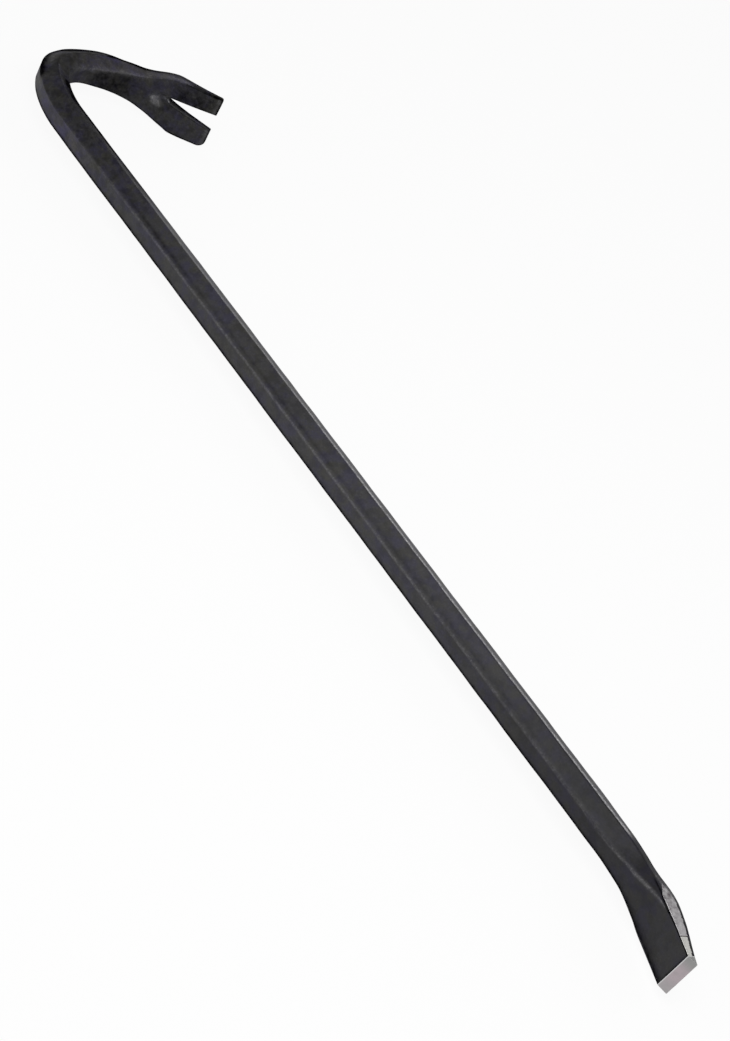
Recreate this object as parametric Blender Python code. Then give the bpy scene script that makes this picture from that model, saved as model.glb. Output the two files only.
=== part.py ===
"""Forged gooseneck wrecking bar of hexagonal steel, lying on its side.

The real bar is one forging. It is built here as its named working sections, each a closed solid: the
hexagonal shank, the hook's root, heel and gooseneck arm, the claw's palm and two tines, and the chisel's
shoulder, blade and bit. Every section is lofted along a spine that lies in the plane of the bend, and a
hairline parts it from the next.

X runs along the shank from the hook to the chisel, the hook opens towards +Y, and Z is square to the plane
of the bend.
"""

import math

import bmesh
import bpy
import numpy as np
from mathutils import Matrix, Vector

MM = 0.001
DEG = math.pi / 180

# Hexagonal stock
across_flats = 17.5 * MM
arris_radius = 1.5 * MM
shank_length = 468.5 * MM
seam = 0.02 * MM

# Spine of the hook, from the shank round to the claw's tips
lead_in_radius = 71.2 * MM
lead_in_turn = 32.0 * DEG
heel_radius = 11.0 * MM
heel_turn = 49.5 * DEG
gooseneck_radius = 50.0 * MM
gooseneck_turn = 62.6 * DEG
palm_run = 13.8 * MM
kick_radius = 118.7 * MM
kick_turn = 7.9 * DEG
tip_run = 12.5 * MM

# Places along the hook where its section is set, each counted from the one before, from the claw's tips back
tip_to_shoulder = 22.2 * MM
shoulder_to_palm = 21.9 * MM
palm_to_throat = 5.9 * MM
throat_to_neck = 22.4 * MM

# Claw's thickness
claw_tip_thickness = 2.4 * MM
claw_shoulder_thickness = 4.3 * MM
palm_thickness = 10.2 * MM
neck_outer_half = 9.5 * MM
neck_inner_half = 8.3 * MM

# Claw's reach above the plane of the bend, and where its upper shoulder lies from the tips
upper_tip_reach = 17.6 * MM
upper_shoulder_reach = 18.15 * MM
upper_shoulder_place = 25.5 * MM
upper_throat_reach = 10.5 * MM

# Its reach below that plane, where the shoulder is nearer the tips and turns more sharply
lower_tip_reach = 17.6 * MM
lower_shoulder_reach = 18.1 * MM
lower_shoulder_place = 21.0 * MM
lower_shoulder_turn = 3.5 * MM
lower_shoulder_fall = 0.9 * MM
lower_palm_reach = 12.4 * MM
lower_throat_reach = 11.6 * MM
neck_reach = 9.9 * MM

# Bevels along the claw's and the arm's sides
tip_bevel = 0.7 * MM
shoulder_bevel = 1.3 * MM
palm_inner_bevel = 2.0 * MM
palm_outer_bevel = 4.6 * MM
neck_inner_bevel = 3.8 * MM
neck_outer_bevel = 4.4 * MM
palm_side_flat = 3.0 * MM

# Heel, where the tight bend has flattened the stock outside, drawn it in inside and spread it sideways, and
# the root before it and the elbow after it, where this fades
heel_flattening = 1.0 * MM
heel_thinning = 0.9 * MM
heel_spread = 0.8 * MM
heel_approach = 11.0 * MM
approach_thinning = 0.9 * MM
approach_spread = 0.1 * MM
heel_to_elbow = 10.0 * MM
elbow_swell = 0.8 * MM
elbow_thinning = 1.4 * MM

# Nail slot, a little off the claw's middle, and the dished eye behind it
slot_mouth_width = 10.1 * MM
slot_root_width = 2.8 * MM
slot_depth = 28.0 * MM
slot_mouth_offset = 0.9 * MM
slot_root_offset = 2.2 * MM
slot_edge_bevel = 0.9 * MM
eye_length = 13.0 * MM
eye_width = 9.6 * MM
eye_depth = 2.1 * MM
eye_overlap = 2.8 * MM
eye_offset = -0.6 * MM
tine_root_hold = 7.0 * MM

# Outer corners of the claw's tips, the lower one blunter, and how far the lower tine outreaches the upper
upper_tip_radius = 1.4 * MM
lower_tip_radius = 4.5 * MM
lower_tine_excess = 0.7 * MM
tine_edge_radius = 0.3 * MM

# Spine of the chisel, from the shank to the cutting edge
chisel_lead = 14.7 * MM
chisel_radius = 117.8 * MM
chisel_turn = 26.4 * DEG
chisel_run = 18.0 * MM

# Places along the chisel where its section is set, each counted from the one before, from the shank on
shank_to_waist = 33.7 * MM
waist_to_blade = 24.0 * MM
shoulder_length = 49.0 * MM

# Chisel: its back is the +Y side, its front the -Y side that carries the ground bevel
waist_back = 6.15 * MM
waist_front = 7.4 * MM
waist_width = 19.9 * MM
waist_bevel = 3.4 * MM
blade_back = 4.6 * MM
blade_front = 3.6 * MM
blade_upper = 12.9 * MM
blade_lower = 13.2 * MM
blade_bevel = 1.5 * MM
blade_side_flat = 6.6 * MM
edge_back = 1.8 * MM
edge_front = 1.5 * MM
edge_upper = 13.3 * MM
edge_lower = 12.3 * MM
edge_bevel = 0.5 * MM
bevel_length = 4.2 * MM
edge_thickness = 0.4 * MM
edge_break = 0.1 * MM

# Fineness of the lofts and cutters
longest_step = 2.4 * MM
widest_turn = 5.0 * DEG
corner_steps = 2
corner_share = 0.45
slot_root_steps = 16
eye_segments = 32
eye_rings = 16
crease_angle = 25 * DEG

# How far a cutter stands clear of what it cuts, how far short of the slot's round end its last ring lies, and
# how many times its own depth the eye's ball is high
cutter_clearance = 3.0 * MM
root_closing = 0.06 * MM
eye_ball_height = 2.0

BLACK_PAINT = {"colour": (0.034, 0.033, 0.036), "roughness": 0.45, "metallic": 0.0}
GROUND_STEEL = {"colour": (0.52, 0.50, 0.50), "roughness": 0.38, "metallic": 1.0}


def clear_scene():
    for item in list(bpy.data.objects):
        bpy.data.objects.remove(item, do_unlink=True)


def paint(name, look):
    """A Principled material with one object's colour, roughness and metallic value."""
    material = bpy.data.materials.new(name)
    material.use_nodes = True
    shader = material.node_tree.nodes["Principled BSDF"]
    shader.inputs["Base Color"].default_value = (*look["colour"], 1.0)
    shader.inputs["Roughness"].default_value = look["roughness"]
    shader.inputs["Metallic"].default_value = look["metallic"]
    return material


class Spine:
    """Straight runs and arcs in the XY plane, each a length and its turn, positive to the left."""

    def __init__(self, start, heading, runs):
        self.pieces = []
        self.ends = [0.0]
        point = Vector((start[0], start[1], 0.0))
        for length, turn in runs:
            self.pieces.append((self.ends[-1], point, heading, turn / length))
            point, heading = self.step(point, heading, turn / length, length)
            self.ends.append(self.ends[-1] + length)
        self.length = self.ends[-1]

    @staticmethod
    def step(point, heading, curvature, distance):
        if curvature == 0.0:
            return point + distance * Vector((math.cos(heading), math.sin(heading), 0.0)), heading
        after = heading + curvature * distance
        x = (math.sin(after) - math.sin(heading)) / curvature
        y = (math.cos(heading) - math.cos(after)) / curvature
        return point + Vector((x, y, 0.0)), after

    def at(self, distance):
        """The spine's point and heading at this distance from its start."""
        piece = [p for p in self.pieces if p[0] <= distance] or self.pieces[:1]
        begin, point, heading, curvature = piece[-1]
        return self.step(point, heading, curvature, distance - begin)


class Smooth:
    """A value that runs smoothly through its knots and never swings past them."""

    def __init__(self, places, values):
        self.x = np.array(places, float)
        self.y = np.array(values, float)
        width = np.diff(self.x)
        slope = np.diff(self.y) / width
        self.m = np.zeros(len(self.x))
        for i in range(1, len(slope)):
            before, after = slope[i - 1], slope[i]
            if before * after > 0:
                near, far = 2 * width[i] + width[i - 1], width[i] + 2 * width[i - 1]
                self.m[i] = (near + far) / (near / before + far / after)
        self.m[0], self.m[-1] = slope[0], slope[-1]

    def __call__(self, place):
        place = min(max(place, self.x[0]), self.x[-1])
        i = min(int(np.searchsorted(self.x, place, side="right")) - 1, len(self.x) - 2)
        width = self.x[i + 1] - self.x[i]
        t = (place - self.x[i]) / width
        start = self.y[i] * (1 + 2 * t) * (1 - t) ** 2 + self.m[i] * width * t * (1 - t) ** 2
        end = self.y[i + 1] * t * t * (3 - 2 * t) + self.m[i + 1] * width * t * t * (t - 1)
        return float(start + end)


class Section:
    """The bar's outline along a spine: eight faces whose places are smooth functions of the distance.

    left, right, upper and lower are the faces' distances from the spine, left_bevel and right_bevel how far
    the slanted faces reach in from the sides, and left_rise and right_rise where they meet the sides.
    """

    names = ("left", "right", "upper", "lower", "left_bevel", "right_bevel", "left_rise", "right_rise")

    def __init__(self, places, rows):
        self.values = {n: Smooth(places, [row[i] for row in rows]) for i, n in enumerate(self.names)}

    def give(self, name, knots):
        """One face's own (place, value) knots in the place of those it shares with the others."""
        self.values[name] = Smooth(*zip(*sorted(knots)))

    def at(self, distance):
        return {name: value(distance) for name, value in self.values.items()}


def hexagon():
    """The stock's row for a Section: the rises are the tangent lengths that round its side corners."""
    corner_reach = across_flats / math.sqrt(3)
    rise = arris_radius * math.tan(15 * DEG)
    half = across_flats / 2
    side = corner_reach - rise * math.tan(30 * DEG)
    return (half, half, side, side, side - corner_reach / 2, side - corner_reach / 2, rise, rise)


def rounded(corners, radius):
    """The corners of a convex outline rounded, each to the radius or to what its edges leave room for."""
    points = []
    for i, corner in enumerate(corners):
        before = corner - corners[i - 1]
        after = corners[(i + 1) % len(corners)] - corner
        turn = before.angle(after, 0.0)
        room = corner_share * min(before.length, after.length)
        reach = min(radius * math.tan(turn / 2), room)
        start = corner - before.normalized() * reach
        end = corner + after.normalized() * reach
        for k in range(corner_steps + 1):
            t = k / corner_steps
            points.append(start * (1 - t) ** 2 + corner * (2 * t * (1 - t)) + end * t * t)
    return points


def side_corners(face, reach):
    """The four corners on one side of the plane of the bend, from the section's left to its right."""
    return [
        (face["left"], reach - face["left_bevel"]),
        (face["left_rise"], reach),
        (-face["right_rise"], reach),
        (-face["right"], reach - face["right_bevel"]),
    ]


def bar_outline(face):
    """The whole section, as (distance to the left of the spine, height) points."""
    below = [(out, -up) for out, up in reversed(side_corners(face, face["lower"]))]
    return rounded([Vector(c) for c in side_corners(face, face["upper"]) + below], arris_radius)


def place(spine, distance, outline):
    """An outline set square across the spine at this distance."""
    point, heading = spine.at(distance)
    left = Vector((-math.sin(heading), math.cos(heading), 0.0))
    return [point + left * out + Vector((0.0, 0.0, up)) for out, up in outline]


def stations(spine, begin, end):
    """Distances from begin to end, close enough together for the spine's bend and the section's change."""
    turn = 0.0
    for (start, _, _, curvature), stop in zip(spine.pieces, spine.ends[1:]):
        turn += abs(curvature) * max(0.0, min(stop, end) - max(start, begin))
    count = max(math.ceil((end - begin) / longest_step), math.ceil(turn / widest_turn), 1)
    return [begin + (end - begin) * i / count for i in range(count + 1)]


def solid(name, rings, material, origin):
    """A closed solid through the rings, with its origin at a point of the spine."""
    mesh = bmesh.new()
    loops = [[mesh.verts.new(point - origin) for point in ring] for ring in rings]
    for near, far in zip(loops, loops[1:]):
        for i in range(len(near)):
            mesh.faces.new((near[i - 1], near[i], far[i], far[i - 1]))
    mesh.faces.new(loops[0][::-1])
    mesh.faces.new(loops[-1])
    bmesh.ops.recalc_face_normals(mesh, faces=mesh.faces)
    data = bpy.data.meshes.new(name)
    mesh.to_mesh(data)
    mesh.free()
    data.shade_smooth()
    data.set_sharp_from_angle(angle=crease_angle)
    if material:
        data.materials.append(material)
    item = bpy.data.objects.new(name, data)
    item.location = origin
    bpy.context.scene.collection.objects.link(item)
    return item


def bar_piece(name, spine, section, begin, end, look):
    """One section of the bar, drawn in by half a seam at both ends."""
    places = stations(spine, begin + seam / 2, end - seam / 2)
    rings = [place(spine, s, bar_outline(section.at(s))) for s in places]
    return solid(name, rings, paint(name, look), spine.at(begin)[0])


def cutter(item):
    item.hide_render = True
    item.display_type = "WIRE"
    return item


def cut(item, tool):
    """A live Boolean that takes the tool's shape out of the item."""
    boolean = item.modifiers.new(tool.name, "BOOLEAN")
    boolean.operation = "DIFFERENCE"
    boolean.solver = "EXACT"
    boolean.object = tool


hook = Spine(
    (0.0, 0.0),
    math.pi,
    [
        (lead_in_radius * lead_in_turn, -lead_in_turn),
        (heel_radius * heel_turn, -heel_turn),
        (gooseneck_radius * gooseneck_turn, -gooseneck_turn),
        (palm_run, 0.0),
        (kick_radius * kick_turn, kick_turn),
        (tip_run, 0.0),
    ],
)
chisel = Spine(
    (shank_length, 0.0),
    0.0,
    [(chisel_lead, 0.0), (chisel_radius * chisel_turn, -chisel_turn), (chisel_run, 0.0)],
)


def flat_row(thickness, reach, bevel):
    """The row of a thin section with even bevels."""
    rise = (thickness - bevel) / 2
    return (thickness / 2, thickness / 2, reach, reach, bevel, bevel, rise, rise)


def bent(stock, swell, thinning, spread):
    """The stock's row where a bend swells its outer face, thins its inner one and spreads its sides."""
    return (stock[0] + swell, stock[1] - thinning, stock[2] + spread, stock[3] + spread, *stock[4:])


def hook_section():
    """The hook's outline from the shank to the claw's tips; its left is the outside of the bend."""
    stock = hexagon()
    side_rise = stock[-1]
    approach = bent(stock, 0.0, approach_thinning, approach_spread)
    heel = bent(stock, -heel_flattening, heel_thinning, heel_spread)
    elbow = bent(stock, elbow_swell, elbow_thinning, 0.0)
    neck_bevels = (neck_outer_bevel, neck_inner_bevel)
    neck = (neck_outer_half, neck_inner_half, neck_reach, neck_reach, *neck_bevels, side_rise, side_rise)
    half_palm, half_flat = palm_thickness / 2, palm_side_flat / 2
    palm_bevels = (palm_outer_bevel, palm_inner_bevel)
    palm = (half_palm, half_palm, lower_palm_reach, lower_palm_reach, *palm_bevels, half_flat, half_flat)
    shoulder = flat_row(claw_shoulder_thickness, lower_shoulder_reach, shoulder_bevel)
    tip = flat_row(claw_tip_thickness, lower_tip_reach, tip_bevel)
    at_shoulder = hook.length - tip_to_shoulder
    at_palm = at_shoulder - shoulder_to_palm
    at_throat = at_palm - palm_to_throat
    at_neck = at_throat - throat_to_neck
    at_approach = hook.ends[1] - heel_approach
    at_heel = 0.5 * (hook.ends[1] + hook.ends[2])
    at_elbow = hook.ends[2] + heel_to_elbow
    section = Section(
        [0.0, at_approach, at_heel, at_elbow, at_neck, at_palm, at_shoulder, hook.length],
        [stock, approach, heel, elbow, neck, palm, shoulder, tip],
    )
    arm = [(0.0, stock[2]), (at_approach, approach[2]), (at_heel, heel[2]), (at_elbow, elbow[2])]
    arm.append((at_neck, neck_reach))
    upper_claw = [
        (at_throat, upper_throat_reach),
        (hook.length - upper_shoulder_place, upper_shoulder_reach),
        (hook.length, upper_tip_reach),
    ]
    lower_turn_end = hook.length - lower_shoulder_place - lower_shoulder_turn
    lower_claw = [
        (at_throat, lower_throat_reach),
        (at_palm, lower_palm_reach),
        (lower_turn_end, lower_shoulder_reach - lower_shoulder_fall),
        (hook.length - lower_shoulder_place, lower_shoulder_reach),
        (hook.length, lower_tip_reach),
    ]
    section.give("upper", arm + upper_claw)
    section.give("lower", arm + lower_claw)
    return section


def chisel_section():
    """The chisel's outline from the shank to the cutting edge; its left is the blade's back."""
    stock = hexagon()
    side_rise = stock[-1]
    waist_faces = (waist_back, waist_front, waist_width / 2, waist_width / 2)
    waist = (*waist_faces, waist_bevel, waist_bevel, side_rise, side_rise)
    blade_faces = (blade_back, blade_front, blade_upper, blade_lower)
    blade = (*blade_faces, blade_bevel, blade_bevel, blade_side_flat / 2, blade_side_flat / 2)
    edge_faces = (edge_back, edge_front, edge_upper, edge_lower)
    edge_rises = (edge_back - edge_bevel / 2, edge_front - edge_bevel / 2)
    edge = (*edge_faces, edge_bevel, edge_bevel, *edge_rises)
    places = [0.0, shank_to_waist, shank_to_waist + waist_to_blade, chisel.length]
    return Section(places, [stock, waist, blade, edge])


def slot_middle(from_tip):
    """Height of the nail slot's centre line, which leans a little across the claw."""
    return slot_mouth_offset + (slot_root_offset - slot_mouth_offset) * from_tip / slot_depth


def slot_half(from_tip):
    """Half the nail slot's width: a straight taper from the mouth that ends in a round root."""
    root_radius = slot_root_width / 2
    centre = slot_depth - root_radius
    taper = slot_mouth_width / 2 + (root_radius - slot_mouth_width / 2) * from_tip / centre
    if from_tip <= centre:
        return taper
    return math.sqrt(max(root_radius**2 - (from_tip - centre) ** 2, 0.0))


def tine_outline(face, from_tip, from_end, sign, tip_radius):
    """One tine's section: the bar's outline from the slot's wall outwards, its inner edge bevelled.

    sign is 1 for the upper tine and -1 for the lower one. from_tip is measured from the claw's tips and from_end
    from this tine's own end, whose outer corner is rounded in plan.
    """
    wall = slot_half(from_tip) + sign * slot_middle(from_tip)
    to_round = max(tip_radius - from_end, 0.0)
    reach = face["upper"] if sign > 0 else face["lower"]
    side = reach - tip_radius + math.sqrt(tip_radius**2 - to_round**2)
    corners = [
        *side_corners(face, side),
        (-face["right"], wall + slot_edge_bevel),
        (slot_edge_bevel - face["right"], wall),
        (face["left"], wall),
    ]
    if sign < 0:
        corners = [(out, -up) for out, up in reversed(corners)]
    return rounded([Vector(c) for c in corners], tine_edge_radius)


def make_tine(name, section, begin, end, sign, tip_radius):
    """A tine from the palm to its end, with the stations of the rounded corner set at equal angles."""
    places = stations(hook, begin + seam / 2, end - tip_radius)
    count = math.ceil(tip_radius / arris_radius) + corner_steps
    for i in range(count):
        angle = (i + 1) / count * 90 * DEG
        places.append(end - tip_radius * (1 - math.sin(angle)))
    rings = []
    for s in places:
        outline = tine_outline(section.at(s), hook.length - s, end - s, sign, tip_radius)
        rings.append(place(hook, s, outline))
    return solid(name, rings, paint(name, BLACK_PAINT), hook.at(begin)[0])


def slot_cutter(section, begin):
    """The slot's root, lofted with the same taper and edge bevel that the tines have."""
    open_end = hook.length - begin - cutter_clearance
    root_end = slot_depth - root_closing
    rings = []
    for i in range(slot_root_steps + 1):
        from_tip = open_end + (root_end - open_end) * i / slot_root_steps
        face = section.at(hook.length - from_tip)
        outside = face["left"] + cutter_clearance
        edge = slot_edge_bevel - face["right"]
        inside = -face["right"] - cutter_clearance
        wall = slot_half(from_tip)
        top = wall + slot_edge_bevel + cutter_clearance
        middle = slot_middle(from_tip)
        upper = [(outside, wall), (edge, wall), (inside, top)]
        outline = upper + [(out, -up) for out, up in reversed(upper)]
        raised = [Vector((out, up + middle)) for out, up in outline]
        rings.append(place(hook, hook.length - from_tip, raised))
    return cutter(solid("slot_cutter", rings, None, hook.at(begin)[0]))


def eye_cutter(section):
    """An ellipsoid that sinks the nail's eye into the palm's inner face, overlapping the slot's root."""
    at_eye = hook.length - (slot_depth - eye_overlap + eye_length / 2)
    point, heading = hook.at(at_eye)
    inward = Vector((math.sin(heading), -math.cos(heading), 0.0))
    height = eye_ball_height * eye_depth
    lift = height - eye_depth
    opening = math.sqrt(1 - (lift / height) ** 2)
    ball = bmesh.new()
    bmesh.ops.create_uvsphere(ball, u_segments=eye_segments, v_segments=eye_rings, radius=1.0)
    size = Matrix.Diagonal((eye_length / 2 / opening, height, eye_width / 2 / opening, 1.0))
    bmesh.ops.transform(ball, matrix=size, verts=ball.verts)
    data = bpy.data.meshes.new("eye_cutter")
    ball.to_mesh(data)
    ball.free()
    item = bpy.data.objects.new("eye_cutter", data)
    item.location = point + inward * (section.at(at_eye)["right"] + lift) + Vector((0.0, 0.0, eye_offset))
    item.rotation_euler = (0.0, 0.0, heading)
    bpy.context.scene.collection.objects.link(item)
    return cutter(item)


def make_claw(section):
    tine_begin = hook.length - (slot_depth - tine_root_hold)
    palm = bar_piece("claw_palm", hook, section, hook.ends[3], tine_begin, BLACK_PAINT)
    tools = [slot_cutter(section, tine_begin), eye_cutter(section)]
    for tool in tools:
        cut(palm, tool)
    lower_end = hook.length + lower_tine_excess
    upper = make_tine("claw_tine_upper", section, tine_begin, hook.length, 1, upper_tip_radius)
    lower = make_tine("claw_tine_lower", section, tine_begin, lower_end, -1, lower_tip_radius)
    return [palm, upper, lower], tools


def make_hook(section):
    names = ("hook_root", "hook_heel", "gooseneck_arm")
    ends = hook.ends
    return [bar_piece(n, hook, section, ends[i], ends[i + 1], BLACK_PAINT) for i, n in enumerate(names)]


def make_shank():
    line = Spine((0.0, 0.0), 0.0, [(shank_length, 0.0)])
    outline = bar_outline(dict(zip(Section.names, hexagon())))
    rings = [place(line, s, outline) for s in (seam / 2, shank_length - seam / 2)]
    return solid("hex_shank", rings, paint("hex_shank", BLACK_PAINT), Vector((shank_length / 2, 0.0, 0.0)))


def make_chisel(section):
    bit_begin = chisel.length - bevel_length
    shoulder = bar_piece("chisel_shoulder", chisel, section, 0.0, shoulder_length, BLACK_PAINT)
    blade = bar_piece("chisel_blade", chisel, section, shoulder_length, bit_begin, BLACK_PAINT)
    start = section.at(bit_begin + seam / 2)
    ground = section.at(chisel.length)
    ground["right"] = edge_thickness - ground["left"]
    ground["right_bevel"] = edge_bevel
    ground["left_rise"] = ground["left"] - edge_break
    ground["right_rise"] = ground["right"] - edge_break
    rings = [
        place(chisel, bit_begin + seam / 2, bar_outline(start)),
        place(chisel, chisel.length, bar_outline(ground)),
    ]
    bit = solid("chisel_bit", rings, paint("chisel_bit", GROUND_STEEL), chisel.at(bit_begin)[0])
    return [shoulder, blade, bit]


def stand(items, tools):
    """An empty that carries everything and puts the origin under the middle of the bar's box."""
    bpy.context.view_layer.update()
    corners = [item.matrix_world @ vertex.co for item in items for vertex in item.data.vertices]
    low = [min(c[i] for c in corners) for i in range(3)]
    high = [max(c[i] for c in corners) for i in range(3)]
    base = bpy.data.objects.new("wrecking_bar", None)
    base.location = (-(low[0] + high[0]) / 2, -(low[1] + high[1]) / 2, -low[2])
    bpy.context.scene.collection.objects.link(base)
    for item in [*items, *tools]:
        item.parent = base


def build():
    clear_scene()
    section = hook_section()
    claw, tools = make_claw(section)
    stand([make_shank(), *make_hook(section), *claw, *make_chisel(chisel_section())], tools)


build()
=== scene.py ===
import math
from bisect import bisect_right
from functools import partialmethod

import bmesh
import bpy
from mathutils import Euler, Matrix, Vector, noise


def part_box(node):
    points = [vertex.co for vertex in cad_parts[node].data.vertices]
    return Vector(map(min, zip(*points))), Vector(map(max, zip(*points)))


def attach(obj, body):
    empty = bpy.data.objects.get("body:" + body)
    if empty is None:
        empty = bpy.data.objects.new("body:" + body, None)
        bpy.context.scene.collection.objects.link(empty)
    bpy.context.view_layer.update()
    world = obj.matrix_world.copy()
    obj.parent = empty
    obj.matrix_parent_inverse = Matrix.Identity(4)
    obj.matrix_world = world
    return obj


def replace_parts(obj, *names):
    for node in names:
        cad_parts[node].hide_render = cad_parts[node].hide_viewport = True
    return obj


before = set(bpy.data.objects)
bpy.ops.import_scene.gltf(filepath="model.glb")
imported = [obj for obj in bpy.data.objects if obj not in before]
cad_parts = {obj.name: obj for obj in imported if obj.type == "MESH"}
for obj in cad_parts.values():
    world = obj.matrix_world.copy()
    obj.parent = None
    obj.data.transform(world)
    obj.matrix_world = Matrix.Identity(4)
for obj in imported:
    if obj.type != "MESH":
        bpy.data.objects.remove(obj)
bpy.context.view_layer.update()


# The shank is hot-rolled hexagonal steel, its corners rounded by the rolls. The whole bar is one forging
# with a slightly wavy skin, dipped in black enamel. Its corners carry grey painted highlights and wear.
MM = 0.001
DEG = math.pi / 180
seam = 0.02 * MM
across_flats = 17.5 * MM
arris_radius = 1.5 * MM
shank_low, shank_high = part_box("hex_shank")
shank_middle = (shank_low + shank_high) / 2
shank_start = Vector((shank_low.x - seam / 2, shank_middle.y, shank_middle.z))
shank_length = shank_high.x - shank_low.x + seam
wave_length, wave_height = 16 * MM, 0.16 * MM
ripple_length, ripple_height = 4.5 * MM, 0.035 * MM
wave_seed = 4
shank_step = 2.0 * MM
flat_parts, slant_parts, side_parts, corner_parts = 8, 5, 8, 6
corner_share = 0.45
corner_half = 0.1
crowding = 1.7
crease_angle = 35 * DEG


class Spine:
    """Straight runs and arcs in the plane of the bend, each a length and its turn, positive to the left."""

    def __init__(self, start, heading, runs):
        self.pieces = []
        self.ends = [0.0]
        point = Vector(start)
        for length, turn in runs:
            self.pieces.append((self.ends[-1], point, heading, turn / length))
            point, heading = self.step(point, heading, turn / length, length)
            self.ends.append(self.ends[-1] + length)
        self.length = self.ends[-1]

    @staticmethod
    def step(point, heading, curvature, distance):
        if curvature == 0.0:
            return point + distance * Vector((math.cos(heading), math.sin(heading), 0.0)), heading
        after = heading + curvature * distance
        x = (math.sin(after) - math.sin(heading)) / curvature
        y = (math.cos(heading) - math.cos(after)) / curvature
        return point + Vector((x, y, 0.0)), after

    def at(self, distance):
        piece = [p for p in self.pieces if p[0] <= distance] or self.pieces[:1]
        begin, point, heading, curvature = piece[-1]
        return self.step(point, heading, curvature, distance - begin)


class Smooth:
    """A value that runs smoothly through its knots and never swings past them."""

    def __init__(self, places, values):
        self.x, self.y = list(places), list(values)
        width = [after - before for before, after in zip(self.x, self.x[1:])]
        slope = [(after - before) / w for before, after, w in zip(self.y, self.y[1:], width)]
        self.m = [slope[0]]
        for i in range(1, len(slope)):
            before, after = slope[i - 1], slope[i]
            first, second = 2 * width[i] + width[i - 1], width[i] + 2 * width[i - 1]
            same_way = before * after > 0
            self.m.append((first + second) / (first / before + second / after) if same_way else 0.0)
        self.m.append(slope[-1])

    def __call__(self, place):
        place = min(max(place, self.x[0]), self.x[-1])
        i = min(bisect_right(self.x, place) - 1, len(self.x) - 2)
        width = self.x[i + 1] - self.x[i]
        t = (place - self.x[i]) / width
        start = self.y[i] * (1 + 2 * t) * (1 - t) ** 2 + self.m[i] * width * t * (1 - t) ** 2
        end = self.y[i + 1] * t * t * (3 - 2 * t) + self.m[i + 1] * width * t * t * (t - 1)
        return start + end


class Section:
    """How far the bar's faces lie to the left and right of a spine, above and below it.

    A bevel is how far a left or right face ends short of the side's height, and a rise is how far the flat
    of the side reaches to that hand.
    """

    names = ("left", "right", "upper", "lower", "left_bevel", "right_bevel", "left_rise", "right_rise")

    def __init__(self, places, rows):
        self.values = {n: Smooth(places, [row[i] for row in rows]) for i, n in enumerate(self.names)}

    def give(self, name, knots):
        """One face's own (place, value) knots."""
        self.values[name] = Smooth(*zip(*sorted(knots)))

    def at(self, distance):
        return {name: value(distance) for name, value in self.values.items()}


def faces(left, right, reach, left_bevel, right_bevel, rise):
    """The faces of a section that is alike above and below."""
    return (left, right, reach, reach, left_bevel, right_bevel, rise, rise)


def hexagon():
    """The stock, with a flat to the left and right and a corner above and below."""
    corner_reach = across_flats / math.sqrt(3)
    rise = arris_radius * math.tan(15 * DEG)
    side = corner_reach - rise * math.tan(30 * DEG)
    bevel = side - corner_reach / 2
    return faces(across_flats / 2, across_flats / 2, side, bevel, bevel, rise)


def shares(stretch, parts):
    """A stretch's points as shares of it, crowded towards the corner on the left and right faces."""
    even = [k / parts for k in range(parts)]
    if stretch == 0:
        return [1 - (1 - share) ** crowding for share in even]
    return [share**crowding for share in even] if stretch == 4 else even


def half_outline(face, sign):
    """A section's upper half, or lower one for a sign of -1, from the left over the side to the right.

    Each point is (distance to the left, distance from the plane of the bend, place around). The last counts
    corners: 0 is the middle of the left face, 1 its corner, 4 the right face's corner, 5 its middle.
    """
    reach = face["upper"] if sign > 0 else face["lower"]
    right_bevel = face.get("ridge_bevel", face["right_bevel"]) if sign > 0 else face["right_bevel"]
    corners = [
        Vector((face["left"], reach - face["left_bevel"])),
        Vector((face["left_rise"], reach)),
        Vector((-face["right_rise"], reach)),
        Vector((-face["right"], reach - right_bevel)),
    ]
    path = [Vector((face["left"], 0.0)), *corners, Vector((-face["right"], 0.0))]
    parts = [flat_parts, slant_parts, side_parts, slant_parts, flat_parts]
    points = []
    leave = path[0]
    for i in range(len(corners) + 1):
        arrive = path[-1]
        if i < len(corners):
            before, after = corners[i] - path[i], path[i + 2] - corners[i]
            turn = before.angle(after, 0.0)
            trim = min(arris_radius * math.tan(turn / 2), corner_share * min(before.length, after.length))
            arrive = corners[i] - before.normalized() * trim
        begin = i + corner_half if i else 0.0
        end = i + 1 - corner_half if i < len(corners) else i + 1.0
        for share in shares(i, parts[i]):
            points.append((*leave.lerp(arrive, share), begin + (end - begin) * share))
        if i < len(corners):
            leave = corners[i] + after.normalized() * trim
            for k in range(corner_parts):
                t = k / corner_parts
                bend = arrive * (1 - t) ** 2 + corners[i] * (2 * t * (1 - t)) + leave * t * t
                points.append((*bend, end + 2 * corner_half * t))
    points.append((*path[-1], 5.0))
    return points


noise.seed_set(wave_seed)


def forged(point):
    """A point moved by the wavy skin that the hammer and the rolls leave."""
    wave = noise.noise_vector(point / wave_length) * wave_height
    ripple = noise.noise_vector(point / ripple_length) * ripple_height
    return point + wave + ripple


def set_on(spine, distance, out, up):
    """The forged skin's point this far along the spine, this far to its left and this high."""
    point, heading = spine.at(distance)
    return forged(point + Vector((-math.sin(heading) * out, math.cos(heading) * out, up)))


def half_row(spine, section, distance, sign, surface_mark):
    """A row of skin points, each with its painted light and shade and its wear."""
    row = []
    for out, up, around in half_outline(section.at(distance), sign):
        row.append((set_on(spine, distance, out, sign * up), surface_mark(distance, out, around, sign)))
    return row


def steps(begin, end, longest):
    count = max(math.ceil((end - begin) / longest), 1)
    return [begin + (end - begin) * i / count for i in range(count + 1)]


# The marks stored on the skin: wear with painted highlight, painted shade, painted sheen and bare steel.
mark_names = ("rubbed", "thick", "hazed", "bare")


def in_scene(name, data):
    thing = bpy.data.objects.new(name, data)
    bpy.context.scene.collection.objects.link(thing)
    return thing


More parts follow.
